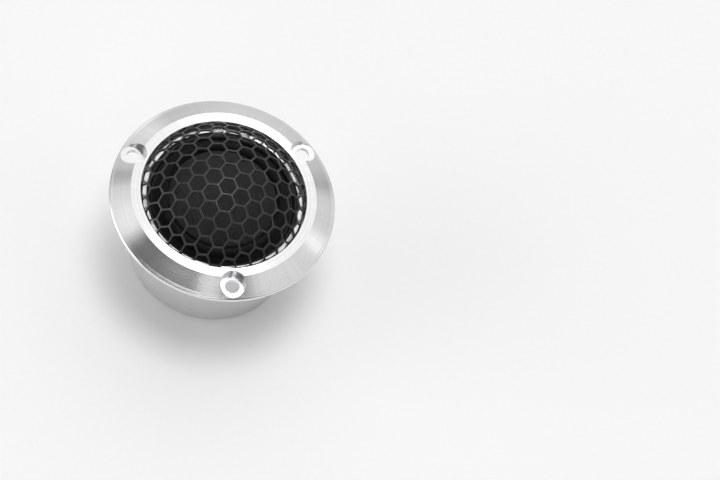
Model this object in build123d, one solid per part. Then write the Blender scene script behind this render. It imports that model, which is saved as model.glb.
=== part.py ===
from build123d import *
from math import atan2, cos, hypot, pi, radians, sin, sqrt
import os

# Car tweeter with a turned aluminium mounting flange, a domed hexagonal grille, a soft dome with its
# neodymium motor, and a sealed rear housing with a terminal cup. Millimetres.
# The origin is the centre of the housing's rear face, and +Z points out through the grille.
# One of the three mounting holes lies towards -Y, and the positive side of each pair on +X or +Y.
# Radii build outwards from the voice coil, and heights build forwards from the rear face.

# ---- driving dimensions -------------------------------------------------------------------------
# voice coil and diaphragm
COIL_R = 13.9              # inside radius of the voice coil former
FORMER_T = 0.15
WINDING_T = 0.3
WINDING_H = 3.0
FORMER_DROP = 0.4          # former's lower end below the magnetic gap
DOME_T = 0.25
DOME_RISE = 4.9
DOME_SKIRT = 1.0           # cylindrical edge glued over the former
DOME_LIFT = 1.7            # dome's base above the frame's seat
SURROUND_T = 0.25
SURROUND_ROLL_W = 2.6
SURROUND_ROLL_H = 1.25
SURROUND_VALLEY_W = 0.5    # between the dome's edge and the roll
GLUE_GAP = 0.1             # adhesive between the soft pieces

# diaphragm frame
SEAT_W = 1.2               # land that the surround is glued to
SEAT_CLEARANCE = 0.2       # round the raised seat, inside the lip
FRAME_T = 2.0
FRAME_STEP = 0.3           # its raised seat above the clamped rim
FRAME_FLOOR_T = 1.0
FRAME_BORE_CLEARANCE = 1.0  # outside the winding

# motor
PLATE_T = 3.5              # top plate, and the height of the magnetic gap
MAGNET_T = 5.0
YOKE_BASE_T = 3.0
VENT_R = 3.0
INNER_GAP = 0.35           # former to top plate
OUTER_GAP = 0.4            # winding to yoke
SHORTING_T = 0.95
SHORTING_INSET = 0.15      # inside the top plate's edge
YOKE_RELIEF = 0.85         # the yoke's bore widens by this below the gap
FIT = 0.1                  # locating fit of the motor and frame in the spigot
DAMPER_T = 2.0
DAMPER_MARGIN = 3.5        # top plate left bare round the damper
VENT_DAMPER_T = 1.1
VENT_DAMPER_LAP = 1.2      # round the vent

# front flange
LIP_OVERLAP = 0.5          # how far the lip reaches over the frame's rim
LIP_T = 0.4                # straight part of the lip's inner edge
BEVEL_W = 1.4              # polished bevel from the lip out to the ledge
BEVEL_H = 1.5
LEDGE_W = 1.8              # ledge that carries the grille
RECESS_DEPTH = 2.6         # flat ring to the ledge
FLAT_RING_W = 2.6          # flat ring round the recess
FLANGE_T = 3.8             # flange back face to the flat ring
CONE_DROP = 2.4            # how far the turned cone falls from the flat ring to the rim
RIM_W = 0.95               # radial width of the rounded rim
SPIGOT_LENGTH = 5.0        # screws into the housing's mouth
SPIGOT_WALL = 1.0
THREAD_CLEARANCE = 0.05
EDGE = 0.15                # broken edge on turned corners

# mounting holes
HOLE_COUNT = 3
HOLE_R = 1.95
HOLE_SETOUT = 1.5          # hole centres outside the flat ring
HOLE_EDGE = 3.9            # hole centres inside the flange's outer edge
COUNTERBORE_R = 3.35
COUNTERBORE_DEPTH = 2.6    # below the flat ring

# grille
GRILLE_CLEARANCE = 0.2     # to the recess wall
GRILLE_T = 0.5             # sheet thickness
GRILLE_SKIRT = 2.24        # straight wall that stands on the ledge
GRILLE_RISE = 11.4         # crown of the pressed dome above its skirt
GRILLE_FOOT = 0.6          # unbroken ring at the foot of the skirt
CELL_PITCH = 4.555         # between neighbouring cells, before pressing
STRAND_W = 0.52            # metal left between two cells
CELL_TURN = -11.9          # degrees from +X to a line of cells, seen from the front
PATTERN_SHIFT = (0.12, 0.82)   # how far the punched pattern sits off the sheet's centre
PRESS_STRETCH = (0.068, 0.051)  # how the sheet's pattern crowds towards the edge when pressed
PUNCH_REACH = 3.2          # how far each punch runs past the sheet, in sheet thicknesses
PUNCH_LIMIT = 0.3          # cells centred this share of a pitch down the skirt are still punched

# rear housing
MOUTH_STEP = 0.6           # the threaded mouth is wider than the bore behind it
BODY_WALL = 1.6
BACK_T = 3.0
SHOULDER_T = 1.5           # ledge that carries the motor
SHOULDER_W = 3.2
SHOULDER_SLOPE = 0.6       # its underside leans by this
REGISTER_DEPTH = 0.1       # the can's front edge enters the flange's back by this
REAR_CHAMFER = 0.4
GASKET_T = 1.0
FOAM_CLEARANCE = 0.3
FOAM_LIFT = 2.5            # foam above the housing's back wall

# terminal cup
RECESS_X = 10.0
RECESS_Y = 16.0
RECESS_Z = 8.0
RECESS_CORNER = 1.5
CUP_WALL = 1.17            # outside the recess's corners
CUP_FLANGE_W = 4.4
CUP_FLANGE_T = 1.2
CUP_GASKET_T = 0.5
CUP_CLEARANCE = 0.15
CUP_FLOOR_T = 1.4
CUP_SCREW_R = 1.0
CUP_SCREW_PLAY = 0.02
CUP_SCREW_HEAD_R = 1.8
CUP_SCREW_HEAD_H = 0.9
CUP_SCREW_LENGTH = 5.0
CUP_SCREW_COUNT = 4
SLOT_W = 0.5
BLADE_W = 4.8
BLADE_T = 0.8
BLADE_NECK_W = 2.4
BLADE_Y = 4.2
BLADE_SETBACK = 1.2        # blade tips inside the rear face
TAIL_LENGTH = 1.5
MARK_DEPTH = 0.3
MARK_SIZE = 2.2
MARK_W = 0.5
MARK_SHIFT = 0.4           # outwards from the middle of the flange beside the recess

# wiring
WIRE_SPACE = 1.9           # between the blades' tails and the motor
WIRE_R = 0.5
WIRE_LEAN = 2.6            # sideways, from the blade's tail to the wire's level run
WIRE_RUN = 4.5             # last level stretch before the wire turns forwards
WIRE_BENDS = [1.6, 4.0, 1.0]
NOTCH_W = 4.0              # wire passage in the yoke and in the housing's shoulder
NOTCH_DEPTH = 2.0
TAG_W = 2.2
TAG_T = 0.3
TAG_PLAY = 0.1             # round the tag in the frame's slot
LEAD_R = 0.15
LEAD_WINDOW = 1.3          # opening in the frame's floor where the coil lead comes through
LEAD_SETOUT = 0.7          # lead's root on the tag, outside the frame's bore
LEAD_GAP = 0.1             # lead's end to the former
LEAD_CREST = 1.35          # lead's first bend, above the tag
LEAD_DIP = 0.75            # its second bend
LEAD_TOP = 2.55            # its end on the former
LEAD_BENDS = [0.35, 0.35]

# ---- radii, outwards from the voice coil ----------------------------------------------------------
FORMER_R = COIL_R + FORMER_T
WINDING_R = FORMER_R + WINDING_T
TOP_PLATE_R = COIL_R - INNER_GAP
SHORTING_R = TOP_PLATE_R - SHORTING_INSET
MAGNET_R = SHORTING_R - SHORTING_T
YOKE_BORE_R = WINDING_R + OUTER_GAP
FRAME_BORE_R = WINDING_R + FRAME_BORE_CLEARANCE
DOME_EDGE_R = FORMER_R + DOME_T
ROLL_IN_R = DOME_EDGE_R + SURROUND_VALLEY_W
ROLL_OUT_R = ROLL_IN_R + SURROUND_ROLL_W
FRAME_SEAT_R = ROLL_OUT_R + SEAT_W
LIP_R = FRAME_SEAT_R + SEAT_CLEARANCE
SPIGOT_BORE_R = LIP_R + LIP_OVERLAP
MOTOR_R = SPIGOT_BORE_R - FIT
SPIGOT_R = SPIGOT_BORE_R + SPIGOT_WALL
THREAD_BORE_R = SPIGOT_R + THREAD_CLEARANCE
BODY_BORE_R = SPIGOT_R - MOUTH_STEP
BODY_R = BODY_BORE_R + BODY_WALL
BEVEL_R = LIP_R + BEVEL_W
OPENING_R = BEVEL_R + LEDGE_W
FLAT_RING_R = OPENING_R + FLAT_RING_W
HOLE_CIRCLE_R = FLAT_RING_R + HOLE_SETOUT
FLANGE_R = HOLE_CIRCLE_R + HOLE_EDGE
CONE_R = FLANGE_R - RIM_W
GRILLE_R = OPENING_R - GRILLE_CLEARANCE
CUP_R = hypot(RECESS_X, RECESS_Y) / 2 + CUP_WALL
CUP_FLANGE_R = CUP_R + CUP_FLANGE_W
WIRE_PATH_R = MOTOR_R - NOTCH_DEPTH / 2 + FIT

# ---- heights, forwards from the rear face ---------------------------------------------------------
CUP_TOP_Z = RECESS_Z + CUP_FLOOR_T
TAIL_Z = CUP_TOP_Z + TAIL_LENGTH
YOKE_Z = TAIL_Z + WIRE_SPACE
SHOULDER_Z = YOKE_Z - SHOULDER_T
MAGNET_Z = YOKE_Z + YOKE_BASE_T
PLATE_Z = MAGNET_Z + MAGNET_T
FRAME_Z = PLATE_Z + PLATE_T
LIP_BOTTOM_Z = FRAME_Z + FRAME_T
FRAME_SEAT_Z = LIP_BOTTOM_Z + FRAME_STEP
DOME_BASE_Z = FRAME_SEAT_Z + DOME_LIFT
LIP_TOP_Z = LIP_BOTTOM_Z + LIP_T
LEDGE_Z = LIP_TOP_Z + BEVEL_H
FLAT_Z = LEDGE_Z + RECESS_DEPTH
FLANGE_BACK_Z = FLAT_Z - FLANGE_T
RIM_TOP_Z = FLAT_Z - CONE_DROP
SPIGOT_Z = FLANGE_BACK_Z - SPIGOT_LENGTH
MOUTH_Z = SPIGOT_Z - GASKET_T
WIRE_Z = YOKE_Z - VENT_DAMPER_T
GRILLE_EDGE_Z = LEDGE_Z + GRILLE_SKIRT
GRILLE_SPHERE_R = (GRILLE_R ** 2 + GRILLE_RISE ** 2) / (2 * GRILLE_RISE)
GRILLE_CENTRE_Z = GRILLE_EDGE_Z + GRILLE_RISE - GRILLE_SPHERE_R


# ---- helpers ------------------------------------------------------------------------------------
OVERCUT = 1.0              # how far a plain cut runs past what it cuts


def turned(points):
    """A solid of revolution about Z from a closed (radius, height) outline."""
    with BuildPart() as body:
        with BuildSketch(Plane.XZ):
            with BuildLine():
                Polyline(*points, close=True)
            make_face()
        revolve(axis=Axis.Z)
    return body.part


def ring(outer, inner, low, high):
    """A plain turned ring or, with inner at nought, a disc."""
    return turned([(inner, low), (outer, low), (outer, high), (inner, high)])


def block(size_x, size_y, size_z, centre_x, centre_y, low):
    """A box with its underside at low."""
    return Pos(centre_x, centre_y, low + size_z / 2) * Box(size_x, size_y, size_z)


def tube(points, corner_radii, radius):
    """A round wire along straight runs joined by tangent arcs."""
    path = FilletPolyline(*points, radius=corner_radii)
    start = Plane(origin=path @ 0, z_dir=path % 0)
    return sweep(start * Circle(radius), path=path)


def save(shape, node):
    shape.label = node
    export_step(shape, f"parts/{node}.step")


def both_sides(shape):
    """The piece and its copy turned half a turn about Z."""
    return {"positive": shape, "negative": Rot(0, 0, 180) * shape}


# ---- front flange -------------------------------------------------------------------------------
def flange_outline():
    """Half section of the turned flange, from the lip outwards and back under the plate."""
    with BuildLine() as line:
        Polyline(
            (SPIGOT_BORE_R, LIP_BOTTOM_Z), (LIP_R, LIP_BOTTOM_Z), (LIP_R, LIP_TOP_Z),
            (BEVEL_R, LEDGE_Z), (OPENING_R, LEDGE_Z), (OPENING_R, FLAT_Z - EDGE),
            (OPENING_R + EDGE, FLAT_Z), (FLAT_RING_R, FLAT_Z), (CONE_R, RIM_TOP_Z),
        )
        middle = RIM_W * sqrt(0.5)
        ThreePointArc((CONE_R, RIM_TOP_Z), (CONE_R + middle, RIM_TOP_Z - RIM_W + middle),
                      (FLANGE_R, RIM_TOP_Z - RIM_W))
        register_r = BODY_R + THREAD_CLEARANCE
        seat_z = FLANGE_BACK_Z + REGISTER_DEPTH
        Polyline(
            (FLANGE_R, RIM_TOP_Z - RIM_W), (FLANGE_R, FLANGE_BACK_Z + EDGE),
            (FLANGE_R - EDGE, FLANGE_BACK_Z), (register_r, FLANGE_BACK_Z), (register_r, seat_z),
            (SPIGOT_R, seat_z), (SPIGOT_R, SPIGOT_Z), (SPIGOT_BORE_R, SPIGOT_Z),
            (SPIGOT_BORE_R, LIP_BOTTOM_Z),
        )
    return line.line


def front_flange():
    with BuildPart() as body:
        with BuildSketch(Plane.XZ):
            add(make_face(flange_outline().edges()))
        revolve(axis=Axis.Z)
    holes = []
    for index in range(HOLE_COUNT):
        turn = Rot(0, 0, -90 + index * 360 / HOLE_COUNT)
        through = Pos(HOLE_CIRCLE_R, 0, FLANGE_BACK_Z) * Cylinder(HOLE_R, 4 * FLANGE_T)
        floor = FLAT_Z - COUNTERBORE_DEPTH
        bore = Pos(HOLE_CIRCLE_R, 0, floor + FLANGE_T / 2) * Cylinder(COUNTERBORE_R, FLANGE_T)
        holes += [turn * through, turn * bore]
    return body.part - holes


# ---- grille -------------------------------------------------------------------------------------
SETTLING_STEPS = 12


def pressed_radius(flat_radius):
    """Radius, seen from the front, where a point of the flat sheet ends up after pressing."""
    radius = flat_radius
    for _ in range(SETTLING_STEPS):
        share = radius / GRILLE_R
        stretch = 1 + PRESS_STRETCH[0] * share ** 2 + PRESS_STRETCH[1] * share ** 4
        radius = flat_radius / stretch
    return radius


def on_sheet(x, y):
    """Point of the pressed sheet's outer surface for a point of the flat pattern."""
    radius = pressed_radius(hypot(x, y))
    angle = atan2(y, x)
    if radius <= GRILLE_R:
        height = GRILLE_CENTRE_Z + sqrt(GRILLE_SPHERE_R ** 2 - radius ** 2)
    else:
        height = GRILLE_EDGE_Z - (radius - GRILLE_R)
        radius = GRILLE_R
    return Vector(radius * cos(angle), radius * sin(angle), height)


def sheet_normal(point):
    """Outward direction of the pressed dome at a point."""
    return Vector(point.X, point.Y, point.Z - GRILLE_CENTRE_Z).normalized()


def cell_centres():
    """Centres of the punched cells in the flat sheet."""
    turn = radians(CELL_TURN)
    reach = int(GRILLE_R / CELL_PITCH) + 3
    for column in range(-reach, reach + 1):
        for row in range(-reach, reach + 1):
            x = column * CELL_PITCH * sqrt(3) / 2
            y = (row + column / 2) * CELL_PITCH
            yield (x * cos(turn) - y * sin(turn) + PATTERN_SHIFT[0],
                   x * sin(turn) + y * cos(turn) + PATTERN_SHIFT[1])


def cell_cutter(x, y):
    """Hexagonal punch through the pressed sheet at one cell, or None beyond the skirt."""
    corner = (CELL_PITCH - STRAND_W) / sqrt(3)
    turn = radians(CELL_TURN)
    if pressed_radius(hypot(x, y)) > GRILLE_R + CELL_PITCH * PUNCH_LIMIT:
        return None
    points = []
    for side in range(6):
        angle = turn + side * pi / 3
        points.append(on_sheet(x + corner * cos(angle), y + corner * sin(angle)))
    middle = sum(points, Vector(0, 0, 0)) / 6
    normal = sheet_normal(middle)
    reach = PUNCH_REACH * GRILLE_T
    outline = [point - normal * ((point - middle).dot(normal) + reach) for point in points]
    return Solid.extrude(Face(Wire.make_polygon(outline)), normal * 2 * reach)


def grille():
    shell = grille_shell()
    cutters = [cell_cutter(x, y) for x, y in cell_centres()]
    sheet = shell - [cutter for cutter in cutters if cutter is not None]
    foot = ring(GRILLE_R, GRILLE_R - GRILLE_T, LEDGE_Z, LEDGE_Z + GRILLE_FOOT)
    return largest(sheet + foot)


def grille_shell():
    """The pressed sheet before punching: a spherical cap on a straight skirt."""
    cap = Pos(0, 0, GRILLE_CENTRE_Z) * Sphere(GRILLE_SPHERE_R)
    cap -= Pos(0, 0, GRILLE_CENTRE_Z) * Sphere(GRILLE_SPHERE_R - GRILLE_T)
    keep = Pos(0, 0, GRILLE_EDGE_Z + GRILLE_RISE) * Cylinder(GRILLE_R, 2 * GRILLE_RISE)
    return (cap & keep) + ring(GRILLE_R, GRILLE_R - GRILLE_T, LEDGE_Z, GRILLE_EDGE_Z)


def largest(shape):
    return max(shape.solids(), key=lambda solid: solid.volume)


# ---- diaphragm ----------------------------------------------------------------------------------
def cap_shell(edge_r, base_z, rise, thickness):
    """A thin spherical cap whose outer edge has radius edge_r at base_z."""
    sphere_r = (edge_r ** 2 + rise ** 2) / (2 * rise)
    centre = Pos(0, 0, base_z + rise - sphere_r)
    keep = Pos(0, 0, base_z + rise) * Cylinder(edge_r * 2, 2 * rise)
    return (centre * Sphere(sphere_r) - centre * Sphere(sphere_r - thickness)) & keep


def dome():
    skirt = ring(DOME_EDGE_R, FORMER_R, DOME_BASE_Z - DOME_SKIRT, DOME_BASE_Z)
    return largest(cap_shell(DOME_EDGE_R, DOME_BASE_Z, DOME_RISE, DOME_T) + skirt)


def coil_former():
    return ring(FORMER_R, COIL_R, PLATE_Z - FORMER_DROP, DOME_BASE_Z - GLUE_GAP)


def voice_coil():
    low = PLATE_Z + (PLATE_T - WINDING_H) / 2
    return ring(WINDING_R, FORMER_R, low, low + WINDING_H)


def surround():
    """Half-roll of treated cloth between the dome's edge and the frame's seat."""
    low = DOME_BASE_Z - DOME_SKIRT
    inner = DOME_EDGE_R + GLUE_GAP
    outer_flat = FRAME_SEAT_R - GLUE_GAP
    seat = FRAME_SEAT_Z
    crest = (ROLL_IN_R + ROLL_OUT_R) / 2
    top = low + SURROUND_ROLL_H
    with BuildPart() as body:
        with BuildSketch(Plane.XZ):
            with BuildLine():
                Polyline((ROLL_IN_R, low), (inner, low), (inner, low + SURROUND_T),
                         (ROLL_IN_R, low + SURROUND_T))
                ThreePointArc((ROLL_IN_R, low + SURROUND_T), (crest, top + SURROUND_T),
                              (ROLL_OUT_R, seat + SURROUND_T))
                Polyline((ROLL_OUT_R, seat + SURROUND_T), (outer_flat, seat + SURROUND_T),
                         (outer_flat, seat), (ROLL_OUT_R - SURROUND_T, seat))
                ThreePointArc((ROLL_OUT_R - SURROUND_T, seat), (crest, top),
                              (ROLL_IN_R, low))
            make_face()
        revolve(axis=Axis.Z)
    return body.part


def diaphragm_frame():
    """Moulded ring that carries the surround, clamped between the yoke and the flange's lip."""
    wall_r = ROLL_OUT_R - SURROUND_T - FRAME_STEP
    body = turned([
        (FRAME_BORE_R, FRAME_Z), (MOTOR_R, FRAME_Z), (MOTOR_R, LIP_BOTTOM_Z),
        (FRAME_SEAT_R, LIP_BOTTOM_Z), (FRAME_SEAT_R, FRAME_SEAT_Z), (wall_r, FRAME_SEAT_Z),
        (wall_r, FRAME_Z + FRAME_FLOOR_T), (FRAME_BORE_R, FRAME_Z + FRAME_FLOOR_T),
    ])
    inner, outer = tag_span()
    slot = block(outer + TAG_PLAY - FRAME_BORE_R, TAG_W + 2 * TAG_PLAY, 2 * TAG_T,
                 (outer + TAG_PLAY + FRAME_BORE_R) / 2, 0, FRAME_Z)
    window = block(2 * LEAD_WINDOW, TAG_W + 2 * TAG_PLAY, 2 * FRAME_FLOOR_T, FRAME_BORE_R, 0, FRAME_Z)
    return body - list(both_sides(slot + window).values())


# ---- motor --------------------------------------------------------------------------------------
def wire_notch(low, high):
    """Passage for one lead wire, cut into whatever spans its height at the motor's edge."""
    length = 2 * NOTCH_DEPTH
    centre = MOTOR_R + length / 2 - NOTCH_DEPTH
    return block(length, NOTCH_W, high - low, centre, 0, low)


def yoke():
    body = turned([
        (VENT_R, YOKE_Z), (MOTOR_R, YOKE_Z), (MOTOR_R, FRAME_Z), (YOKE_BORE_R, FRAME_Z),
        (YOKE_BORE_R, PLATE_Z), (YOKE_BORE_R + YOKE_RELIEF, PLATE_Z - YOKE_RELIEF),
        (YOKE_BORE_R + YOKE_RELIEF, MAGNET_Z), (VENT_R, MAGNET_Z),
    ])
    return body - list(both_sides(wire_notch(YOKE_Z - OVERCUT, FRAME_Z + OVERCUT)).values())


def magnet():
    return ring(MAGNET_R, VENT_R, MAGNET_Z, PLATE_Z)


def shorting_ring():
    return ring(SHORTING_R, MAGNET_R, MAGNET_Z, PLATE_Z)


def top_plate():
    return ring(TOP_PLATE_R, VENT_R, PLATE_Z, FRAME_Z)


def dome_damper():
    """Felt pad on the top plate that takes up the sound behind the dome."""
    return ring(TOP_PLATE_R - DAMPER_MARGIN, VENT_R, FRAME_Z, FRAME_Z + DAMPER_T)


def vent_damper():
    """Felt disc that covers the motor's vent."""
    return ring(VENT_R + VENT_DAMPER_LAP, 0, YOKE_Z - VENT_DAMPER_T, YOKE_Z)


# ---- rear housing -------------------------------------------------------------------------------
def cup_screw_places():
    radius = (CUP_R + CUP_CLEARANCE + CUP_FLANGE_R) / 2
    step = 360 / CUP_SCREW_COUNT
    return [Rot(0, 0, step * (index + 0.5)) * Pos(radius, 0, 0) for index in range(CUP_SCREW_COUNT)]


def rear_housing():
    seat_z = CUP_FLANGE_T + CUP_GASKET_T
    seat_r = CUP_FLANGE_R + CUP_CLEARANCE
    rim_z = FLANGE_BACK_Z + REGISTER_DEPTH
    body = turned([
        (CUP_R + CUP_CLEARANCE, seat_z), (seat_r, seat_z), (seat_r, 0),
        (BODY_R - REAR_CHAMFER, 0), (BODY_R, REAR_CHAMFER), (BODY_R, rim_z),
        (THREAD_BORE_R, rim_z), (THREAD_BORE_R, MOUTH_Z), (BODY_BORE_R, MOUTH_Z),
        (BODY_BORE_R, YOKE_Z), (BODY_BORE_R - SHOULDER_W, YOKE_Z),
        (BODY_BORE_R - SHOULDER_W, SHOULDER_Z), (BODY_BORE_R, SHOULDER_Z - SHOULDER_SLOPE),
        (BODY_BORE_R, BACK_T), (CUP_R + CUP_CLEARANCE, BACK_T),
    ])
    passage = block(SHOULDER_W + OVERCUT, NOTCH_W, SHOULDER_T + 2 * OVERCUT,
                    BODY_BORE_R - (SHOULDER_W + OVERCUT) / 2, 0, SHOULDER_Z - OVERCUT)
    body -= list(both_sides(passage).values())
    pilot = Pos(0, 0, (seat_z + BACK_T) / 2) * Cylinder(CUP_SCREW_R, BACK_T)
    return body - [place * pilot for place in cup_screw_places()]


def housing_gasket():
    return ring(SPIGOT_R, BODY_BORE_R, MOUTH_Z, SPIGOT_Z)


def chamber_foam():
    high = TAIL_Z - 2 * FOAM_CLEARANCE
    return ring(BODY_BORE_R - FOAM_CLEARANCE, CUP_R + FOAM_CLEARANCE, BACK_T + FOAM_LIFT, high)


# ---- terminals ----------------------------------------------------------------------------------
def polarity_marks():
    """A plus and a minus cut into the cup's flange beside their blades."""
    middle = (RECESS_Y / 2 + CUP_FLANGE_R) / 2 + MARK_SHIFT
    across = block(MARK_SIZE, MARK_W, 2 * MARK_DEPTH, 0, middle, -MARK_DEPTH)
    upright = block(MARK_W, MARK_SIZE, 2 * MARK_DEPTH, 0, middle, -MARK_DEPTH)
    return [across, upright, Rot(0, 0, 180) * across]


def cup_recess():
    with BuildPart() as space:
        with BuildSketch():
            RectangleRounded(RECESS_X, RECESS_Y, RECESS_CORNER)
        extrude(amount=RECESS_Z)
    return space.part


def neck():
    """The blade's narrow part, which passes through the cup's floor."""
    return block(BLADE_T, BLADE_NECK_W, CUP_FLOOR_T + TAIL_LENGTH, 0, BLADE_Y, RECESS_Z)


def terminal_cup():
    body = turned([
        (0, 0), (CUP_FLANGE_R, 0), (CUP_FLANGE_R, CUP_FLANGE_T), (CUP_R, CUP_FLANGE_T),
        (CUP_R, CUP_TOP_Z), (0, CUP_TOP_Z),
    ])
    body -= cup_recess()
    slots = list(both_sides(neck()).values())
    sinks = [place * (countersink() + Cylinder(CUP_SCREW_R, 4 * CUP_FLANGE_T))
             for place in cup_screw_places()]
    return body - slots - polarity_marks() - sinks


def countersink():
    """Space for a screw head that lies flush with the rear face."""
    return turned([(0, 0), (CUP_SCREW_HEAD_R, 0), (CUP_SCREW_R, CUP_SCREW_HEAD_H),
                   (0, CUP_SCREW_HEAD_H)])


def terminal_cup_gasket():
    body = ring(CUP_FLANGE_R, CUP_R + CUP_CLEARANCE, CUP_FLANGE_T, CUP_FLANGE_T + CUP_GASKET_T)
    pilot = Pos(0, 0, CUP_FLANGE_T) * Cylinder(CUP_SCREW_R, 4 * CUP_GASKET_T)
    return body - [place * pilot for place in cup_screw_places()]


def terminal_cup_screws():
    shank = Pos(0, 0, CUP_SCREW_LENGTH / 2) * Cylinder(CUP_SCREW_R - CUP_SCREW_PLAY, CUP_SCREW_LENGTH)
    slot = block(SLOT_W, 4 * SLOT_W, SLOT_W, 0, 0, 0) + block(4 * SLOT_W, SLOT_W, SLOT_W, 0, 0, 0)
    screw = countersink() + shank - slot
    return Compound([place * screw.solid() for place in cup_screw_places()])


def terminals():
    blade = block(BLADE_T, BLADE_W, RECESS_Z - BLADE_SETBACK, 0, BLADE_Y, BLADE_SETBACK)
    return both_sides(blade + neck())


# ---- wiring -------------------------------------------------------------------------------------
def tag_span():
    """Inner and outer ends of a tag along its radius."""
    return FRAME_BORE_R + 2 * TAG_PLAY, MOTOR_R - 5 * TAG_PLAY


def frame_tag():
    """Brass strip in the frame's slot that joins a lead wire to a coil lead."""
    inner, outer = tag_span()
    return block(outer - inner, TAG_W, TAG_T, (inner + outer) / 2, 0, FRAME_Z + TAG_T)


def lead_wire():
    """Insulated wire from the blade's tail, past the motor, to the frame's tag."""
    level = WIRE_Z - FIT
    tail_x = BLADE_T / 2 + WIRE_R
    points = [
        (tail_x, BLADE_Y, CUP_TOP_Z + WIRE_R), (tail_x + WIRE_LEAN, BLADE_Y, level),
        (WIRE_PATH_R - WIRE_RUN, BLADE_Y / 2, level + FIT), (WIRE_PATH_R, 0, level + FIT),
        (WIRE_PATH_R, 0, FRAME_Z + TAG_T),
    ]
    return tube(points, WIRE_BENDS, WIRE_R)


def coil_lead():
    """Fine flexible lead from the tag up to the voice coil former."""
    start_x = FRAME_BORE_R + LEAD_SETOUT
    end_x = FORMER_R + LEAD_R + LEAD_GAP
    base = FRAME_Z + 2 * TAG_T
    points = [(start_x, 0, base), (start_x - LEAD_GAP, 0, base + LEAD_CREST),
              (end_x + 2 * LEAD_GAP, 0, base + LEAD_DIP), (end_x, 0, base + LEAD_TOP)]
    return tube(points, LEAD_BENDS, LEAD_R)


def build():
    os.makedirs("parts", exist_ok=True)
    single = [
        front_flange, grille, rear_housing, housing_gasket, diaphragm_frame, surround, dome,
        coil_former, voice_coil, top_plate, magnet, shorting_ring, yoke, dome_damper,
        vent_damper, chamber_foam, terminal_cup, terminal_cup_gasket, terminal_cup_screws,
    ]
    for maker in single:
        save(maker(), maker.__name__)
    pairs = {
        "terminal": terminals(),
        "lead_wire": both_sides(lead_wire()),
        "frame_tag": both_sides(frame_tag()),
        "coil_lead": both_sides(coil_lead()),
    }
    for name, sides in pairs.items():
        for side, shape in sides.items():
            save(shape, f"{name}_{side}")


build()
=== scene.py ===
import math

import bmesh
import bpy
from mathutils import Matrix, Vector


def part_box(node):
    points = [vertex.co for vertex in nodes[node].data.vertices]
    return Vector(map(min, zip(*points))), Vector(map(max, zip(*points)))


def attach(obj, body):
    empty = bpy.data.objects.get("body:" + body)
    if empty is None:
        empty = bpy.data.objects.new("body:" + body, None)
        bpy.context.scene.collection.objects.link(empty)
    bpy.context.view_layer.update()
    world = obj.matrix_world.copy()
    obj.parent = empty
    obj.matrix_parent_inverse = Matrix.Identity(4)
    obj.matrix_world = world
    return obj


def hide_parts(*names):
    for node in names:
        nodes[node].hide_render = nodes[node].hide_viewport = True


# Car tweeter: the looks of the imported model. Metres, in the row frame: origin in the centre of the
# rear face, +Z out through the grille, one mounting hole towards -Y.

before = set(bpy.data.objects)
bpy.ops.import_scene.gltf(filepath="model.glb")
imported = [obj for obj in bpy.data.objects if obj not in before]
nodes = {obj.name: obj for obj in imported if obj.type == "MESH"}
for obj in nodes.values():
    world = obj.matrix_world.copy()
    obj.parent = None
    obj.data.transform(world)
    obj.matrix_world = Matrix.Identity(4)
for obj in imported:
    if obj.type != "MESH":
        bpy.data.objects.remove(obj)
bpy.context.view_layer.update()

MM = 0.001

# ---- sizes read from the frame, in millimetres ----------------------------------------------------
def node_box(node):
    low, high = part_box(node)
    return low / MM, high / MM


FLANGE_LOW, FLANGE_HIGH = node_box("front_flange")
GRILLE_LOW, GRILLE_HIGH = node_box("grille")
HOUSING_R = node_box("rear_housing")[1].x
DOME_LOW, DOME_HIGH = node_box("dome")
FORMER_R = node_box("coil_former")[1].x
SURROUND_LOW, SURROUND_HIGH = node_box("surround")
SEAT_Z = node_box("diaphragm_frame")[1].z

FLANGE_R = FLANGE_HIGH.x
FLAT_Z = FLANGE_HIGH.z
GRILLE_R = GRILLE_HIGH.x
LEDGE_Z = GRILLE_LOW.z
APEX_Z = GRILLE_HIGH.z

# ---- sizes of the turned flange, as in the CAD source ---------------------------------------------
FLANGE_T = 3.8             # back face to the flat ring
GRILLE_CLEARANCE = 0.2     # grille to the wall of its recess
FLAT_RING_W = 2.6
CONE_DROP = 2.4            # the cone's fall from the flat ring to the rim
RIM_W = 0.95
LEDGE_W = 1.8
BEVEL_W = 1.4
BEVEL_H = 1.5
LIP_T = 0.4
MOUTH_WALL = 0.95          # the housing's wall round the spigot
THREAD_CLEARANCE = 0.05
SPIGOT_WALL = 1.0
REGISTER_DEPTH = 0.1
HOLE_COUNT = 3
HOLE_SETOUT = 1.5          # hole centres outside the flat ring
HOLE_R = 1.95
COUNTERBORE_R = 3.35
COUNTERBORE_DEPTH = 2.6

# the rim's own shape, a little fuller than the quarter round of the CAD source
RIM_FALL = 0.40            # fall of the rim outside the cone
RIM_ROUND = 0.5

BACK_Z = FLAT_Z - FLANGE_T
OPENING_R = GRILLE_R + GRILLE_CLEARANCE
FLAT_RING_R = OPENING_R + FLAT_RING_W
CONE_R = FLANGE_R - RIM_W
BEVEL_R = OPENING_R - LEDGE_W
LIP_R = BEVEL_R - BEVEL_W
LIP_TOP_Z = LEDGE_Z - BEVEL_H
LIP_BOTTOM_Z = LIP_TOP_Z - LIP_T
REGISTER_R = HOUSING_R + THREAD_CLEARANCE
SPIGOT_R = HOUSING_R - MOUTH_WALL - THREAD_CLEARANCE
SPIGOT_BORE_R = SPIGOT_R - SPIGOT_WALL
HOLE_CIRCLE_R = FLAT_RING_R + HOLE_SETOUT

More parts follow.
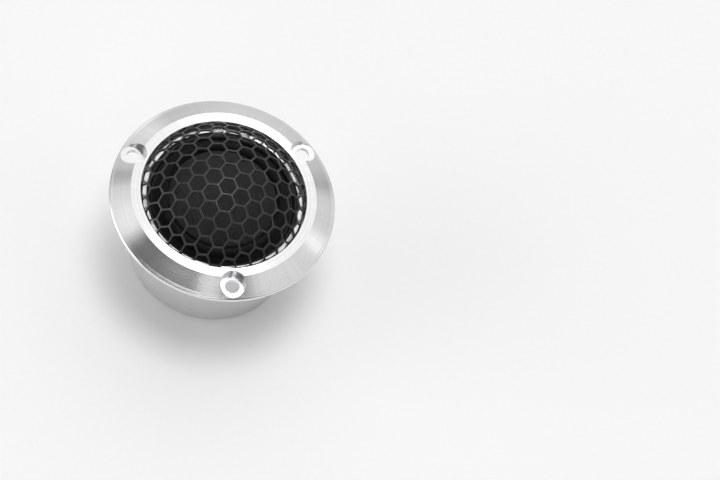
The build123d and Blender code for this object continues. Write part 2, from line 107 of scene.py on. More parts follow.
# ---- sizes of the grille, as in the CAD source ----------------------------------------------------
GRILLE_T = 0.5             # sheet thickness
GRILLE_SKIRT = 2.24        # straight wall that stands on the ledge
GRILLE_FOOT = 0.6          # unbroken ring at the foot of the skirt
CELL_PITCH = 4.555         # between neighbouring cells, before pressing
STRAND_W = 0.52            # metal left between two cells
CELL_TURN = math.radians(-11.9)
PATTERN_SHIFT = (0.12, 0.82)   # how far the punched pattern sits off the sheet's centre
PRESS_STRETCH = (0.068, 0.051)  # how the pattern crowds towards the edge when pressed
SETTLING_STEPS = 12        # rounds that settle where pressing moves a point
GRILLE_EDGE_Z = LEDGE_Z + GRILLE_SKIRT
GRILLE_RISE = APEX_Z - GRILLE_EDGE_Z
GRILLE_SPHERE_R = (GRILLE_R ** 2 + GRILLE_RISE ** 2) / (2 * GRILLE_RISE)
GRILLE_CENTRE_Z = APEX_Z - GRILLE_SPHERE_R

# ---- sizes of the dome and surround, as in the CAD source -----------------------------------------
DOME_T = 0.25
DOME_SKIRT = 1.0           # cylindrical edge glued over the former
SURROUND_T = 0.25
SURROUND_VALLEY_W = 0.5    # between the dome's edge and the roll
SURROUND_ROLL_W = 2.6
GLUE_GAP = 0.1

# ---- camera ---------------------------------------------------------------------------------------
CAMERA_AZIMUTH = math.radians(-23.70)
CAMERA_ELEVATION = math.radians(59.66)
CAMERA_ROLL = math.radians(19.75)
CAMERA_DISTANCE = 1.0417
CAMERA_AIM = Vector((0.03478, -0.01444, 0.0308))
CAMERA_LENS = 198.5
SENSOR_WIDTH = 36
CLIP_RANGE = (0.01, 20)


def make_camera():
    sin_a, cos_a = math.sin(CAMERA_AZIMUTH), math.cos(CAMERA_AZIMUTH)
    sin_e, cos_e = math.sin(CAMERA_ELEVATION), math.cos(CAMERA_ELEVATION)
    back = Vector((sin_a * cos_e, -cos_a * cos_e, sin_e))
    right = Vector((cos_a, sin_a, 0))
    up = back.cross(right)
    turn = Matrix((right, up, back)).transposed()
    data = bpy.data.cameras.new("camera")
    data.lens = CAMERA_LENS
    data.sensor_width = SENSOR_WIDTH
    data.clip_start, data.clip_end = CLIP_RANGE
    camera = bpy.data.objects.new("camera", data)
    roll = Matrix.Rotation(CAMERA_ROLL, 3, "Z")
    camera.matrix_world = Matrix.Translation(CAMERA_AIM + back * CAMERA_DISTANCE) @ (turn @ roll).to_4x4()
    bpy.context.scene.collection.objects.link(camera)
    bpy.context.scene.camera = camera


make_camera()


# ---- mesh helpers ---------------------------------------------------------------------------------
def new_object(name, mesh):
    piece = bpy.data.objects.new(name, mesh)
    bpy.context.scene.collection.objects.link(piece)
    return piece


def apply_modifiers(piece):
    """Bakes the piece's modifiers into its mesh."""
    bpy.context.view_layer.update()
    depsgraph = bpy.context.evaluated_depsgraph_get()
    mesh = bpy.data.meshes.new_from_object(piece.evaluated_get(depsgraph))
    piece.modifiers.clear()
    piece.data = mesh
    return piece


ARC_STEPS = 5
SHARP_ANGLE = math.radians(40)
WELD = 1e-7                # metres within which points of a turned mesh are one
CUTTER_SEGMENTS = 96
CUTTER_REACH = 2           # how far a cutter runs past what it cuts


def rounded(corners):
    """Closed outline in (radius, height) from corners given as (radius, height, rounding)."""
    result = []
    for index, (r, z, rounding) in enumerate(corners):
        corner = Vector((r, z))
        before = Vector(corners[index - 1][:2])
        after = Vector(corners[(index + 1) % len(corners)][:2])
        to_before = (before - corner).normalized()
        to_after = (after - corner).normalized()
        half = to_before.angle(to_after) / 2
        reach = rounding / math.tan(half)
        centre = corner + (to_before + to_after).normalized() * (rounding / math.sin(half))
        start = corner + to_before * reach - centre
        end = corner + to_after * reach - centre
        sweep = start.angle_signed(end)
        for step in range(ARC_STEPS + 1):
            turned = Matrix.Rotation(-sweep * step / ARC_STEPS, 2) @ start
            result.append(centre + turned)
    return result


def lathe(name, outline, segments=288, closed=True):
    """Turned mesh about Z from an outline in millimetres."""
    mesh = bpy.data.meshes.new(name)
    work = bmesh.new()
    rings = []
    for step in range(segments):
        angle = 2 * math.pi * step / segments
        cos_t, sin_t = math.cos(angle), math.sin(angle)
        rings.append([work.verts.new((r * cos_t * MM, r * sin_t * MM, z * MM)) for r, z in outline])
    count = len(outline)
    for step in range(segments):
        here, there = rings[step], rings[(step + 1) % segments]
        for index in range(count if closed else count - 1):
            follow = (index + 1) % count
            work.faces.new((here[index], there[index], there[follow], here[follow]))
    bmesh.ops.remove_doubles(work, verts=work.verts, dist=WELD)
    bmesh.ops.recalc_face_normals(work, faces=work.faces)
    for face in work.faces:
        face.smooth = True
    work.to_mesh(mesh)
    work.free()
    return new_object(name, mesh)


def cylinder(name, x, y, low, high, radius):
    """Plain cutter along Z."""
    mesh = bpy.data.meshes.new(name)
    work = bmesh.new()
    place = Matrix.Translation((x * MM, y * MM, (low + high) / 2 * MM))
    bmesh.ops.create_cone(work, cap_ends=True, segments=CUTTER_SEGMENTS, radius1=radius * MM,
                          radius2=radius * MM, depth=(high - low) * MM, matrix=place)
    work.to_mesh(mesh)
    work.free()
    return new_object(name, mesh)


def cut(piece, cutters):
    """Takes each cutter's volume out of the piece."""
    for cutter in cutters:
        modifier = piece.modifiers.new("cut", "BOOLEAN")
        modifier.operation = "DIFFERENCE"
        modifier.solver = "EXACT"
        modifier.object = cutter
    apply_modifiers(piece)
    for cutter in cutters:
        bpy.data.objects.remove(cutter)
    for face in piece.data.polygons:
        face.use_smooth = True


def soften_edges(piece):
    """Keeps turned faces smooth and the edges between them crisp."""
    piece.data.set_sharp_from_angle(angle=SHARP_ANGLE)
    weighted = piece.modifiers.new("normals", "WEIGHTED_NORMAL")
    weighted.keep_sharp = True
    apply_modifiers(piece)


# ---- node helpers ---------------------------------------------------------------------------------
NOISE_RANGE = (0.3, 0.7)   # where nearly all of a noise texture's values lie


class Nodes:
    """Small wrapper that keeps the code for a material's or world's nodes short."""

    def __init__(self, owner):
        owner.use_nodes = True
        self.owner = owner
        self.tree = owner.node_tree
        self.shader = self.tree.nodes.get("Principled BSDF")

    def add(self, kind, **settings):
        node = self.tree.nodes.new(kind)
        for key, value in settings.items():
            setattr(node, key, value)
        return node

    def link(self, source, target):
        self.tree.links.new(source, target)

    def feed(self, value, socket):
        if isinstance(value, bpy.types.NodeSocket):
            self.link(value, socket)
        else:
            socket.default_value = value

    def math(self, operation, first, second=0.0):
        node = self.add("ShaderNodeMath", operation=operation)
        self.feed(first, node.inputs[0])
        self.feed(second, node.inputs[1])
        return node.outputs[0]

    def multiply(self, first, second):
        return self.math("MULTIPLY", first, second)

    def coords(self):
        """Position in the row frame, in millimetres, as (vector, x, y, z)."""
        place = self.add("ShaderNodeTexCoord").outputs["Object"]
        scale = self.add("ShaderNodeVectorMath", operation="SCALE")
        self.link(place, scale.inputs[0])
        scale.inputs["Scale"].default_value = 1 / MM
        split = self.add("ShaderNodeSeparateXYZ")
        self.link(scale.outputs[0], split.inputs[0])
        return scale.outputs[0], split.outputs[0], split.outputs[1], split.outputs[2]

    def polar(self):
        """(radius, azimuth, z) about the tweeter's axis."""
        _, x, y, z = self.coords()
        radius = self.math("SQRT", self.math("ADD", self.multiply(x, x), self.multiply(y, y)))
        azimuth = self.math("ARCTAN2", y, x)
        return radius, azimuth, z

    def vector(self, x, y, z):
        node = self.add("ShaderNodeCombineXYZ")
        for index, value in enumerate((x, y, z)):
            self.feed(value, node.inputs[index])
        return node.outputs[0]

    def noise(self, vector, scale, detail, roughness=0.5):
        node = self.add("ShaderNodeTexNoise")
        self.link(vector, node.inputs["Vector"])
        node.inputs["Scale"].default_value = scale
        node.inputs["Detail"].default_value = detail
        node.inputs["Roughness"].default_value = roughness
        return node.outputs["Fac"]

    def remap(self, value, low, high, out_low, out_high, **settings):
        node = self.add("ShaderNodeMapRange", **settings)
        self.link(value, node.inputs["Value"])
        limits = {"From Min": low, "From Max": high, "To Min": out_low, "To Max": out_high}
        for key, number in limits.items():
            node.inputs[key].default_value = number
        return node.outputs["Result"]

    def spread(self, noise, out_low=0.0, out_high=1.0):
        """Noise, which mostly lies in NOISE_RANGE, stretched over the given range."""
        return self.remap(noise, *NOISE_RANGE, out_low, out_high)

    def mix(self, share, first, second):
        node = self.add("ShaderNodeMix", data_type="RGBA")
        self.feed(share, node.inputs["Factor"])
        self.feed(first, node.inputs["A"])
        self.feed(second, node.inputs["B"])
        return node.outputs["Result"]

    def bump(self, height, strength, distance):
        node = self.add("ShaderNodeBump")
        self.link(height, node.inputs["Height"])
        node.inputs["Strength"].default_value = strength
        node.inputs["Distance"].default_value = distance * MM
        return node.outputs["Normal"]

    def set(self, socket, number):
        """Number that is the same all over the surface, on the shader's own socket."""
        self.shader.inputs[socket].default_value = number

    def finish(self, **inputs):
        for key, value in inputs.items():
            self.feed(value, self.shader.inputs[key.replace("_", " ")])
        return self.owner


def material_nodes(name):
    return Nodes(bpy.data.materials.new(name))


def grey(value):
    return (value, value, value, 1)


# ---- materials ------------------------------------------------------------------------------------
GROOVES_PER_MM = 4.5
CHATTER = 30.0             # tool marks round the axis
SILK_LEAN = math.radians(17)   # of the warp from the Y axis
SILK_WANDER = 0.5          # how far threads stray, in millimetres for the whole range of the noise
STREAK_SCALE = (3.0, 0.3)  # across and along the warp
CROSSING = 0.2             # softness of the step from one set of threads to the other


def turned_aluminium():
    """Face-turned metal: fine circular grooves, so highlights stretch along the radius."""
    n = material_nodes("turned_aluminium")
    radius, azimuth, z = n.polar()
    groove_place = n.vector(n.multiply(radius, GROOVES_PER_MM), z, 0.0)
    grooves = n.noise(groove_place, scale=1.0, detail=6.0, roughness=0.65)
    chatter_place = n.vector(n.multiply(n.math("COSINE", azimuth), CHATTER),
                             n.multiply(n.math("SINE", azimuth), CHATTER), 0.0)
    chatter = n.noise(chatter_place, scale=1.0, detail=4.0, roughness=0.6)
    tone = n.multiply(n.spread(chatter, 0.5, 1.0), n.spread(grooves, 0.0, 1.4))
    tangent = n.add("ShaderNodeTangent", direction_type="RADIAL", axis="Z")
    n.link(tangent.outputs[0], n.shader.inputs["Tangent"])
    n.set("Metallic", 1.0)
    n.set("Anisotropic", 0.9)
    n.set("Anisotropic Rotation", 0.25)
    return n.finish(Base_Color=n.mix(tone, (0.78, 0.78, 0.785, 1), (0.95, 0.95, 0.955, 1)),
                    Roughness=n.spread(grooves, 0.15, 0.21),
                    Normal=n.bump(grooves, strength=0.25, distance=0.02))


def blasted_aluminium():
    """Bead-blasted metal: an even matt grain."""
    n = material_nodes("blasted_aluminium")
    vector, _, _, _ = n.coords()
    grain = n.noise(vector, scale=7.0, detail=3.0, roughness=0.7)
    cloud = n.noise(vector, scale=0.25, detail=3.0)
    n.set("Metallic", 1.0)
    return n.finish(Base_Color=n.mix(n.spread(cloud), (0.73, 0.73, 0.735, 1), (0.755, 0.755, 0.76, 1)),
                    Roughness=n.spread(grain, 0.46, 0.56),
                    Normal=n.bump(grain, strength=0.35, distance=0.05))


def enamel(name, low, high, shine):
    """Satin black stoving enamel, between two greys."""
    n = material_nodes(name)
    vector, _, _, _ = n.coords()
    grain = n.noise(vector, scale=9.0, detail=3.0, roughness=0.6)
    cloud = n.noise(vector, scale=0.6, detail=2.0)
    n.set("Specular IOR Level", shine)
    return n.finish(Base_Color=n.mix(n.spread(cloud), grey(low), grey(high)),
                    Roughness=n.spread(grain, 0.34, 0.44),
                    Normal=n.bump(grain, strength=0.15, distance=0.02))


def weave_height(n, x, y, pitch):
    """Plain weave: two sets of threads that pass over and under each other."""
    across = n.math("SINE", n.multiply(x, math.pi / pitch))
    along = n.math("SINE", n.multiply(y, math.pi / pitch))
    pick = n.remap(n.multiply(across, along), -CROSSING, CROSSING, 0.0, 1.0)
    height = n.add("ShaderNodeMix", data_type="FLOAT")
    n.link(pick, height.inputs["Factor"])
    n.link(n.math("ABSOLUTE", across), height.inputs["A"])
    n.link(n.math("ABSOLUTE", along), height.inputs["B"])
    return height.outputs["Result"]


def coated_silk(name, tone, thread):
    """Woven silk under a thin damping coat, its threads still standing through."""
    n = material_nodes(name)
    vector, x, y, _ = n.coords()
    drift = n.noise(vector, scale=0.5, detail=2.0)
    wander = n.multiply(n.math("SUBTRACT", drift, 0.5), SILK_WANDER)
    cos_l, sin_l = math.cos(SILK_LEAN), math.sin(SILK_LEAN)
    across = n.math("ADD", n.multiply(x, cos_l), n.multiply(y, sin_l))
    along = n.math("SUBTRACT", n.multiply(y, cos_l), n.multiply(x, sin_l))
    warp = n.math("ADD", across, wander)
    weave = weave_height(n, warp, n.math("ADD", along, wander), thread)
    streak_place = n.vector(n.multiply(across, STREAK_SCALE[0]), n.multiply(along, STREAK_SCALE[1]), 0.0)
    streak = n.noise(streak_place, scale=1.0, detail=3.0)
    cloud = n.noise(vector, scale=0.22, detail=3.0)
    rib = n.math("SINE", n.multiply(warp, 2 * math.pi / thread))
    shade = n.multiply(n.spread(streak, 0.3, 1.9), n.spread(cloud, 0.65, 1.35))
    threads = n.multiply(n.remap(weave, 0.2, 1.0, 0.5, 1.4), n.remap(rib, -1.0, 1.0, 0.2, 1.8))
    n.set("Sheen Weight", 0.08)
    n.set("Sheen Roughness", 0.4)
    n.set("Specular IOR Level", 0.15)
    n.set("Roughness", 0.6)
    return n.finish(Base_Color=n.mix(n.multiply(shade, threads), grey(0.0), grey(tone)),
                    Normal=n.bump(weave, strength=0.8, distance=0.12))


def moulded_plastic(name, tone, grain_scale, roughness):
    """Matt black moulding with a fine grain."""
    n = material_nodes(name)
    vector, _, _, _ = n.coords()
    grain = n.noise(vector, grain_scale, detail=3.0, roughness=0.6)
    cloud = n.noise(vector, scale=0.5, detail=3.0)
    return n.finish(Base_Color=n.mix(n.spread(cloud), grey(tone * 0.8), grey(tone * 1.2)),
                    Roughness=n.spread(grain, roughness - 0.06, roughness + 0.08),
                    Normal=n.bump(grain, strength=0.3, distance=0.05))


def plain_metal(name, low, high, roughness):
    """Plated or drawn metal, between two colours."""
    n = material_nodes(name)
    vector, _, _, _ = n.coords()
    grain = n.noise(vector, scale=4.0, detail=4.0, roughness=0.6)
    n.set("Metallic", 1.0)
    return n.finish(Base_Color=n.mix(n.spread(grain), low, high),
                    Roughness=n.spread(grain, roughness - 0.05, roughness + 0.07),
                    Normal=n.bump(grain, strength=0.15, distance=0.02))


def felt(name, tone):
    """Pressed fibre."""
    n = material_nodes(name)
    vector, _, _, _ = n.coords()
    fibre = n.noise(vector, scale=2.2, detail=6.0, roughness=0.75)
    n.set("Roughness", 0.95)
    return n.finish(Base_Color=n.mix(n.spread(fibre), grey(tone * 0.6), grey(tone * 1.4)),
                    Normal=n.bump(fibre, strength=0.8, distance=0.2))


def rubber(name, low, high):
    """Soft rubber or wire insulation, between two colours."""
    n = material_nodes(name)
    vector, _, _, _ = n.coords()
    grain = n.noise(vector, scale=3.0, detail=3.0)
    return n.finish(Base_Color=n.mix(n.spread(grain), low, high), Roughness=n.spread(grain, 0.38, 0.5),
                    Normal=n.bump(grain, strength=0.1, distance=0.02))


def floor_paper():
    """White background paper without any shine."""
    n = material_nodes("floor_paper")
    vector, _, _, _ = n.coords()
    grain = n.noise(vector, scale=0.8, detail=2.0)
    n.set("Specular IOR Level", 0.0)
    n.set("Roughness", 0.9)
    return n.finish(Base_Color=n.mix(n.spread(grain), grey(0.905), grey(0.915)))


FLANGE_METAL = turned_aluminium()
HOUSING_METAL = blasted_aluminium()
GRILLE_PAINT = enamel("grille_paint", 0.022, 0.036, 0.4)
# painted shade: the grille's punched cell walls get a far darker, duller enamel than the strands' faces
WALL_PAINTED_SHADE = enamel("grille_wall_painted_shade", 0.004, 0.008, 0.08)
# dark enamel for the thin sheet that darkens the flange's bevel and lip
LIP_DARKENING = enamel("lip_darkening", 0.008, 0.014, 0.3)
DOME_SILK = coated_silk("dome_silk", 0.032, 0.50)
SURROUND_SILK = coated_silk("surround_silk", 0.010, 0.38)
FRAME_PLASTIC = moulded_plastic("frame_plastic", 0.012, 2.5, 0.55)
CUP_PLASTIC = moulded_plastic("cup_plastic", 0.02, 5.0, 0.5)
ZINC_STEEL = plain_metal("zinc_steel", grey(0.30), grey(0.42), 0.38)
NICKEL = plain_metal("nickel_plate", (0.58, 0.56, 0.52, 1), (0.68, 0.66, 0.62, 1), 0.22)
COPPER = plain_metal("copper", (0.68, 0.34, 0.20, 1), (0.80, 0.44, 0.28, 1), 0.3)
BRASS = plain_metal("tinned_brass", (0.62, 0.54, 0.36, 1), (0.74, 0.68, 0.50, 1), 0.3)
FORMER_METAL = plain_metal("former_foil", grey(0.55), grey(0.68), 0.35)
SCREW_STEEL = plain_metal("black_zinc", grey(0.05), grey(0.10), 0.35)
FELT = felt("felt", 0.04)
RUBBER = rubber("gasket_rubber", grey(0.012), grey(0.022))
RED_WIRE = rubber("red_insulation", (0.40, 0.015, 0.015, 1), (0.50, 0.03, 0.03, 1))
BLACK_WIRE = rubber("black_insulation", grey(0.012), grey(0.02))

CAD_MATERIALS = {
    "rear_housing": HOUSING_METAL, "housing_gasket": RUBBER, "diaphragm_frame": FRAME_PLASTIC,
    "coil_former": FORMER_METAL, "voice_coil": COPPER, "top_plate": ZINC_STEEL, "magnet": NICKEL,
    "shorting_ring": COPPER, "yoke": ZINC_STEEL, "dome_damper": FELT, "vent_damper": FELT,
    "chamber_foam": FELT, "terminal_cup": CUP_PLASTIC, "terminal_cup_gasket": RUBBER,
    "terminal_cup_screws": SCREW_STEEL, "terminal_positive": BRASS, "terminal_negative": BRASS,
    "lead_wire_positive": RED_WIRE, "lead_wire_negative": BLACK_WIRE, "frame_tag_positive": BRASS,
    "frame_tag_negative": BRASS, "coil_lead_positive": COPPER, "coil_lead_negative": COPPER,
}


def dress_cad_nodes():
    """Gives each piece that keeps its CAD mesh its material."""
    for node, material in CAD_MATERIALS.items():
        piece = nodes[node]
        for slot in piece.material_slots:
            slot.material = material
        if not piece.material_slots:
            piece.data.materials.append(material)


def place(piece, material, body, node, slot):
    """Puts a visual mesh on its body, in place of its CAD node."""
    piece.data.materials.clear()
    piece.data.materials.append(material)
    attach(piece, body)
    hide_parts(node)


# ---- front flange ---------------------------------------------------------------------------------
def hole_places():
    """(x, y) of each mounting hole, the first towards -Y."""
    for index in range(HOLE_COUNT):
        angle = math.radians(-90 + 360 * index / HOLE_COUNT)
        yield HOLE_CIRCLE_R * math.cos(angle), HOLE_CIRCLE_R * math.sin(angle)


def make_flange():
    rim_z = FLAT_Z - CONE_DROP
    register_z = BACK_Z + REGISTER_DEPTH
    outline = [
        (SPIGOT_BORE_R, FLANGE_LOW.z, 0.1), (SPIGOT_R, FLANGE_LOW.z, 0.1), (SPIGOT_R, register_z, 0.02),
        (REGISTER_R, register_z, 0.04), (REGISTER_R, BACK_Z, 0.02), (FLANGE_R, BACK_Z, 0.2),
        (FLANGE_R, rim_z - RIM_FALL, RIM_ROUND), (CONE_R, rim_z, 0.3), (FLAT_RING_R, FLAT_Z, 0.06),
        (OPENING_R, FLAT_Z, 0.1), (OPENING_R, LEDGE_Z, 0.1), (BEVEL_R, LEDGE_Z, 0.08),
        (LIP_R, LIP_TOP_Z, 0.06), (LIP_R, LIP_BOTTOM_Z, 0.05), (SPIGOT_BORE_R, LIP_BOTTOM_Z, 0.05),
    ]
    piece = lathe("flange", rounded(outline), 360)
    cutters = []
    top = FLAT_Z + CUTTER_REACH
    for x, y in hole_places():
        cutters.append(cylinder("hole", x, y, BACK_Z - CUTTER_REACH, top, HOLE_R))
        cutters.append(cylinder("counterbore", x, y, FLAT_Z - COUNTERBORE_DEPTH, top, COUNTERBORE_R))
    cut(piece, cutters)
    soften_edges(piece)
    place(piece, FLANGE_METAL, "housing", "front_flange", "flange")


LIP_SHEET_T = 0.03
SHEET_ROOT = 0.1           # how far the dark sheet's hidden side lies in the metal


def make_dark_lip_sheet():
    """Thin dark sheet over the bevel and the lip, inside the bright ledge, so these show dark instead of
    as turned metal.
    """
    face_r = LIP_R - LIP_SHEET_T
    outline = [
        (BEVEL_R, LEDGE_Z + LIP_SHEET_T), (BEVEL_R - SHEET_ROOT, LEDGE_Z - SHEET_ROOT),
        (LIP_R, LIP_TOP_Z - SHEET_ROOT / 2), (face_r, LIP_BOTTOM_Z), (face_r, LIP_TOP_Z + LIP_SHEET_T),
    ]
    place(lathe("dark_lip_sheet", outline), LIP_DARKENING, "housing", "front_flange", "flange")


# ---- grille ---------------------------------------------------------------------------------------
FOLD_LENGTH = 0.8          # down the skirt, over which the sheet's lean turns upright
SHEET_WELD = 2e-6          # metres within which points of neighbouring cells are one


def pressed_radius(flat_radius):
    """Where pressing the flat sheet moves a point at this radius, measured along the sheet."""
    radius = flat_radius
    for _ in range(SETTLING_STEPS):
        share = radius / GRILLE_R
        radius = flat_radius / (1 + PRESS_STRETCH[0] * share ** 2 + PRESS_STRETCH[1] * share ** 4)
    return radius


def on_sheet(x, y, depth):
    """Point under the flat pattern's (x, y), depth below the pressed sheet's outer surface."""
    radius = pressed_radius(math.hypot(x, y))
    angle = math.atan2(y, x)
    lean = math.asin(min(radius, GRILLE_R) / GRILLE_SPHERE_R)
    if radius <= GRILLE_R:
        height = GRILLE_CENTRE_Z + math.sqrt(GRILLE_SPHERE_R ** 2 - radius ** 2)
    else:
        height = GRILLE_EDGE_Z - (radius - GRILLE_R)
        lean += (math.pi / 2 - lean) * min(1.0, (radius - GRILLE_R) / FOLD_LENGTH)
        radius = GRILLE_R
    radius -= depth * math.sin(lean)
    height -= depth * math.cos(lean)
    return Vector((radius * math.cos(angle), radius * math.sin(angle), height)) * MM


def cell_centres():
    """Centres of the punched cells in the flat sheet, and of a few beyond its edge."""
    reach = int(GRILLE_R / CELL_PITCH) + 3
    cos_t, sin_t = math.cos(CELL_TURN), math.sin(CELL_TURN)
    for column in range(-reach, reach + 1):
        for row in range(-reach, reach + 1):
            x = column * CELL_PITCH * math.sqrt(3) / 2
            y = (row + column / 2) * CELL_PITCH
            yield x * cos_t - y * sin_t + PATTERN_SHIFT[0], x * sin_t + y * cos_t + PATTERN_SHIFT[1]


# strand cross-section from its middle line to the cell's wall and back underneath:
# (share of the half width, depth below the outer surface in millimetres)
STRAND_SECTION = [(0.0, 0.0), (0.55, 0.0), (0.82, 0.02), (0.95, 0.06), (1.0, 0.12),
                  (1.0, GRILLE_T - 0.08), (0.9, GRILLE_T - 0.02), (0.0, GRILLE_T)]
SHADED_WALL_STEP = 3              # from here on the section is the punched wall, darkened with painted shade
SIDE_STEPS = 6
CORNER_SHARPNESS = 26
SIDE_DIRECTIONS = [math.radians(30 + 60 * side) for side in range(6)]


def hexagon_reach(direction):
    """Distance to a unit-apothem hexagon's edge, sharp and with rounded corners."""
    cosines = [max(math.cos(direction - side), 0.0) for side in SIDE_DIRECTIONS]
    sharp = 1 / max(cosines)
    soft = sum(value ** CORNER_SHARPNESS for value in cosines) ** (-1 / CORNER_SHARPNESS)
    return sharp, soft


def cell_directions():
    """Directions that step evenly along each straight side of a hexagon."""
    corner = math.tan(math.radians(30))
    for side in SIDE_DIRECTIONS:
        for step in range(SIDE_STEPS):
            yield side + math.atan(corner * (2 * step / SIDE_STEPS - 1))


def make_grille():
    """Pressed sheet, made cell by cell as the half strands round each hole."""
    mesh = bpy.data.meshes.new("grille_sheet")
    work = bmesh.new()
    half = CELL_PITCH / 2
    hole = half - STRAND_W / 2
    directions = [(angle, *hexagon_reach(angle)) for angle in cell_directions()]
    for centre_x, centre_y in cell_centres():
        if pressed_radius(math.hypot(centre_x, centre_y)) > GRILLE_R + GRILLE_SKIRT + CELL_PITCH:
            continue
        rings = []
        for share, depth in STRAND_SECTION:
            ring = []
            for angle, sharp, soft in directions:
                distance = half * sharp + (hole * soft - half * sharp) * share
                x = centre_x + distance * math.cos(angle + CELL_TURN)
                y = centre_y + distance * math.sin(angle + CELL_TURN)
                ring.append(work.verts.new(on_sheet(x, y, depth)))
            rings.append(ring)
        for step, (outer, inner) in enumerate(zip(rings, rings[1:])):
            for index in range(len(directions)):
                follow = (index + 1) % len(directions)
                face = work.faces.new((outer[index], outer[follow], inner[follow], inner[index]))
                # painted shade: faces of the punched walls take the darker enamel, material 1
                face.material_index = 1 if step >= SHADED_WALL_STEP else 0
    bmesh.ops.remove_doubles(work, verts=work.verts, dist=SHEET_WELD)
    geometry = work.verts[:] + work.edges[:] + work.faces[:]
    hem_z = (LEDGE_Z + GRILLE_FOOT / 2) * MM
    bmesh.ops.bisect_plane(work, geom=geometry, plane_co=(0, 0, hem_z), plane_no=(0, 0, -1),
                           clear_outer=True)
    bmesh.ops.recalc_face_normals(work, faces=work.faces)
    for face in work.faces:
        face.smooth = True
    work.to_mesh(mesh)
    work.free()
    piece = new_object("grille_sheet", mesh)
    place(piece, GRILLE_PAINT, "housing", "grille", "grille")
    # second material: the darker enamel that paints shade on the punched cell walls
    piece.data.materials.append(WALL_PAINTED_SHADE)


def make_grille_foot():
    """Unbroken ring that the skirt ends in, on the flange's ledge."""
    inner_r = GRILLE_R - GRILLE_T
    top_z = LEDGE_Z + GRILLE_FOOT
    outline = [(inner_r, LEDGE_Z, 0.05), (GRILLE_R, LEDGE_Z, 0.05), (GRILLE_R, top_z, 0.12),
               (inner_r, top_z, 0.12)]
    place(lathe("grille_foot", rounded(outline)), GRILLE_PAINT, "housing", "grille", "grille")


# ---- diaphragm ------------------------------------------------------------------------------------
DOME_RINGS = 40
EDGE_FALL = 0.15           # the cap's edge above the straight skirt
ROLL_STEPS = 24
ROLL_SQUARENESS = 0.8      # below one, the roll's sides rise more steeply than a sine
VALLEY_SAG = 0.03          # the cloth's fall across the valley
ROLL_SAG = 0.1             # the roll's crest below its CAD height


def cap_arc(radius, centre_z, reach):
    """Points of a spherical cap's outline from the axis out."""
    angles = [reach * step / DOME_RINGS for step in range(DOME_RINGS + 1)]
    return [(radius * math.sin(angle), centre_z + radius * math.cos(angle)) for angle in angles]


def make_dome():
    """Cap, its skirt round the former and the underside, from the apex out and back."""
    edge_r = DOME_HIGH.x
    base_z = DOME_LOW.z + DOME_SKIRT
    rise = DOME_HIGH.z - base_z
    sphere_r = (edge_r ** 2 + rise ** 2) / (2 * rise)
    centre_z = DOME_HIGH.z - sphere_r
    reach = math.asin(edge_r / sphere_r)
    outer = cap_arc(sphere_r, centre_z, reach)
    inner = cap_arc(sphere_r - DOME_T, centre_z, reach)
    skirt = [(edge_r, base_z - EDGE_FALL), (edge_r, DOME_LOW.z), (FORMER_R, DOME_LOW.z)]
    piece = lathe("silk_dome", outer + skirt + inner[::-1], 192, closed=False)
    place(piece, DOME_SILK, "diaphragm", "dome", "silk")


def make_surround():
    """Half-roll with a valley at the dome's edge and a flat seat on the frame."""
    inner_r = DOME_HIGH.x + GLUE_GAP
    roll_in = DOME_HIGH.x + SURROUND_VALLEY_W
    roll_out = roll_in + SURROUND_ROLL_W
    edge_z = DOME_LOW.z + SURROUND_T
    valley_z = edge_z - VALLEY_SAG
    seat_z = SEAT_Z + SURROUND_T
    roll_h = SURROUND_HIGH.z - (DOME_LOW.z + seat_z) / 2 - ROLL_SAG
    top = [(inner_r, edge_z), (roll_in, valley_z)]
    for step in range(1, ROLL_STEPS):
        share = step / ROLL_STEPS
        height = valley_z + (seat_z - valley_z) * share
        height += roll_h * math.sin(math.pi * share) ** ROLL_SQUARENESS
        top.append((roll_in + SURROUND_ROLL_W * share, min(height, SURROUND_HIGH.z)))
    top += [(roll_out, seat_z), (SURROUND_HIGH.x, seat_z)]
    under = [(radius, max(height - SURROUND_T, SURROUND_LOW.z)) for radius, height in reversed(top)]
    place(lathe("surround_roll", top + under, 192), SURROUND_SILK, "housing", "surround", "silk")


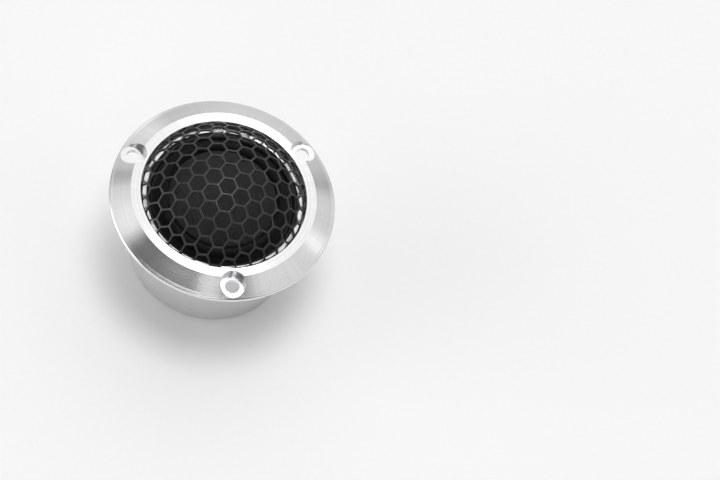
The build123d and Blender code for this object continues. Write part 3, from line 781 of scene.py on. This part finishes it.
# ---- studio ---------------------------------------------------------------------------------------
# Soft lights on the studio's dome, seen from the tweeter: azimuth from +X towards +Y, elevation,
# half-width (all in degrees) and brightness. The dark between them gives the turned cone its bands.
STUDIO_LIGHTS = {
    "overhead_box": (75, 84, 14, 6.6),
    "back_wall": (66, 50, 30, 0.94),
    "back_fill": (70, 10, 36, 0.42),
    "back_strip": (112, 25, 16, 0.6),
    "left_box": (178, 8, 24, 2.9),
    "left_strip": (148, 43, 18, 0.75),
    "front_fill": (232, 10, 28, 0.6),
    "front_box": (263, 48, 10, 1.7),
    "right_wall": (335, 38, 28, 0.66),
    "right_strip": (15, 24, 17, 0.6),
}
SOFT_EDGE = 0.3            # share of the half-width over which a light fades, in and out
STUDIO_AMBIENT = 0.08
FLOOR_HALF = 3.0           # metres


def studio_light(n, direction, azimuth, elevation, half_width, brightness):
    """Round light with a soft edge, as a share of the world's brightness in each direction."""
    turn, rise, width = math.radians(azimuth), math.radians(elevation), math.radians(half_width)
    dot = n.add("ShaderNodeVectorMath", operation="DOT_PRODUCT")
    n.link(direction, dot.inputs[0])
    dot.inputs[1].default_value = (math.cos(turn) * math.cos(rise), math.sin(turn) * math.cos(rise),
                                   math.sin(rise))
    angle = n.math("ARCCOSINE", dot.outputs["Value"])
    return n.remap(angle, width * (1 - SOFT_EDGE), width * (1 + SOFT_EDGE), brightness, 0.0,
                   interpolation_type="SMOOTHSTEP")


def make_world():
    world = bpy.data.worlds.new("studio")
    n = Nodes(world)
    direction = n.add("ShaderNodeTexCoord").outputs["Generated"]
    total = STUDIO_AMBIENT
    for settings in STUDIO_LIGHTS.values():
        total = n.math("ADD", studio_light(n, direction, *settings), total)
    background = n.tree.nodes["Background"]
    n.link(total, background.inputs["Strength"])
    background.inputs["Color"].default_value = grey(1.0)
    bpy.context.scene.world = world
    bpy.context.scene.view_settings.view_transform = "Standard"
    bpy.context.scene.view_settings.look = "None"


def make_floor():
    mesh = bpy.data.meshes.new("floor")
    corners = [(-FLOOR_HALF, -FLOOR_HALF, 0), (FLOOR_HALF, -FLOOR_HALF, 0),
               (FLOOR_HALF, FLOOR_HALF, 0), (-FLOOR_HALF, FLOOR_HALF, 0)]
    mesh.from_pydata(corners, [], [(0, 1, 2, 3)])
    mesh.materials.append(floor_paper())
    new_object("floor", mesh)


dress_cad_nodes()
make_flange()
make_dark_lip_sheet()
make_grille()
make_grille_foot()
make_dome()
make_surround()
make_world()
make_floor()
